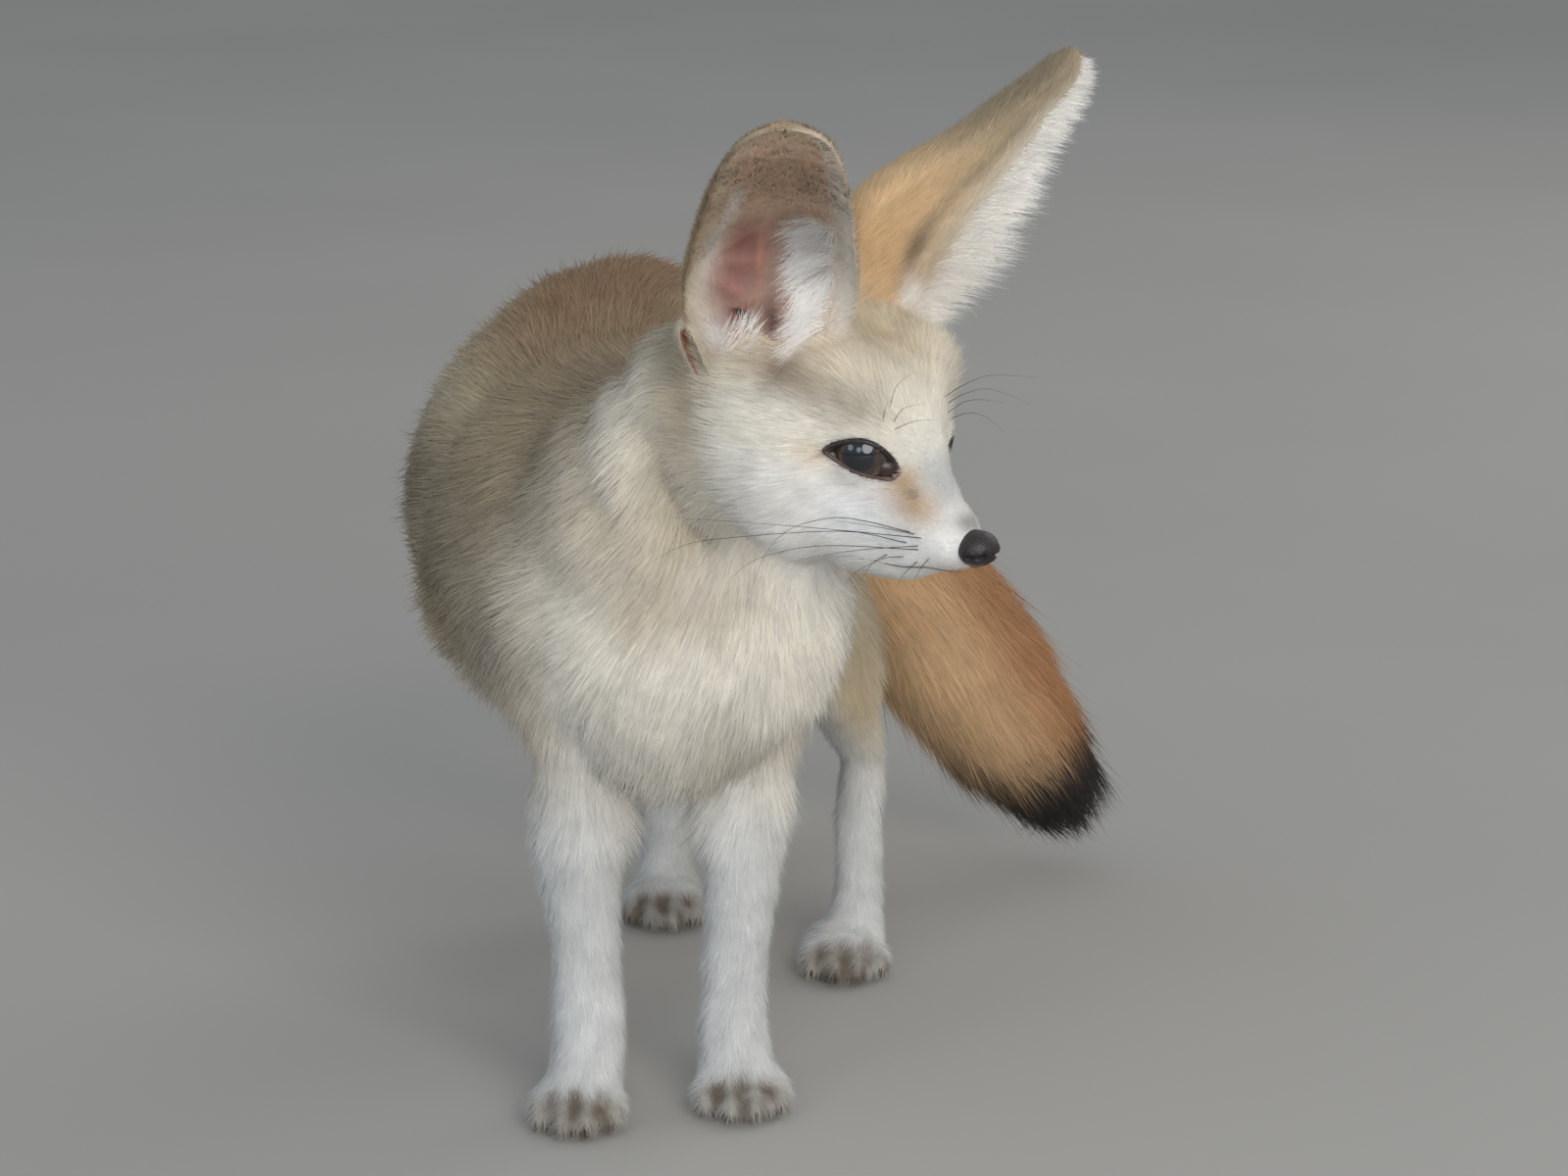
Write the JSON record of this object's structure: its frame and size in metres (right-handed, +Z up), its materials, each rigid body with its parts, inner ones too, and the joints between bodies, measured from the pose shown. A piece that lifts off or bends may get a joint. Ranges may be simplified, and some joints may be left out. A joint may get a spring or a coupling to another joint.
{
  "type": "fennec fox, life-size still model",
  "caption": "Life-size fennec fox (Vulpes zerda), standing still with its head turned to its left, large ears up and its bushy tail hanging.",
  "frame": {"origin": "on the floor under the middle of the model's box; the four paws stand on z = 0", "axes": "+Z up; the chest faces -Y; the fox's left side is +X; the head is turned 52 degrees to its left"},
  "size_m": [0.2306, 0.3432, 0.3022],
  "materials": {
    "coat_cream": "soft matt cream-white fur",
    "coat_sand": "soft matt sandy fur",
    "coat_rust": "soft matt rusty tan fur",
    "coat_black": "soft matt black fur",
    "ear_skin": "thin pink skin with short hair",
    "nose_leather": "moist dark brown leather",
    "eye": "wet dark brown",
    "claw": "dark horn",
    "whisker": "thin black bristle"
  },
  "bodies": {
    "root": {"head": "coat_cream", "neck": "coat_cream", "torso_front": "coat_sand", "torso_rear": "coat_sand", "tail_base": "coat_rust", "tail_brush": "coat_rust", "tail_tip": "coat_black", "foreleg_left": "coat_cream", "forepaw_left": "coat_cream", "thigh_left": "coat_cream", "shank_left": "coat_cream", "hindpaw_left": "coat_cream", "foreleg_right": "coat_cream", "forepaw_right": "coat_cream", "thigh_right": "coat_cream", "shank_right": "coat_cream", "hindpaw_right": "coat_cream", "nose": "nose_leather", "eye_left": "eye", "eye_right": "eye", "ear_left_front": "coat_sand", "ear_left_back": "coat_sand", "ear_right_front": "coat_sand", "ear_right_back": "coat_sand"}
  },
  "joints": []
}
